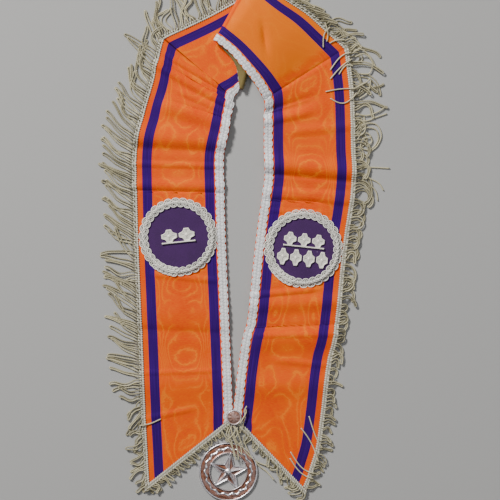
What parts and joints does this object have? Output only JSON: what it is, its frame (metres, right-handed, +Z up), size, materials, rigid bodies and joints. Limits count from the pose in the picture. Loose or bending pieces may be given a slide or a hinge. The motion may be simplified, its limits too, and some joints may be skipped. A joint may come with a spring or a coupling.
{
  "type": "fringed sash of an order with star pendant",
  "caption": "Orange and violet ribbon sash laid flat, with white braid, bullion fringe, two round badges, a button and a pierced star pendant.",
  "frame": {"origin": "the middle of the sash's box, on the surface that it lies on", "axes": "+Z up from the surface, +Y from the points towards the neck, +X to the viewer's right"},
  "size_m": [0.3084, 0.5924, 0.0181],
  "materials": {
    "ribbon": "orange moire ribbon with violet stripes",
    "lining": "gold satin",
    "braid": "white and silver thread",
    "fringe": "pale twisted bullion thread",
    "badge_cloth": "dark violet felt",
    "emblem_metal": "silver plated",
    "button_metal": "worn, pink-brown",
    "pendant_metal": "polished"
  },
  "bodies": {
    "root": {"ribbon_right": "ribbon", "ribbon_left": "ribbon", "ribbon_neck": "ribbon", "lining_neck": "lining", "braid_right": "braid", "braid_neck": "braid", "braid_left": "braid", "fringe_right": "fringe", "fringe_neck": "fringe", "fringe_left": "fringe", "fringe_point_right": "fringe", "fringe_point_left": "fringe", "badge_disc_left": "badge_cloth", "badge_disc_right": "badge_cloth", "badge_braid_left": "braid", "badge_braid_right": "braid", "emblem_left": "emblem_metal", "emblem_upper": "emblem_metal", "emblem_lower_1": "emblem_metal", "emblem_lower_2": "emblem_metal", "emblem_lower_3": "emblem_metal", "emblem_lower_4": "emblem_metal", "button": "button_metal", "star_pendant": "pendant_metal", "hanger_link": "pendant_metal"}
  },
  "joints": []
}
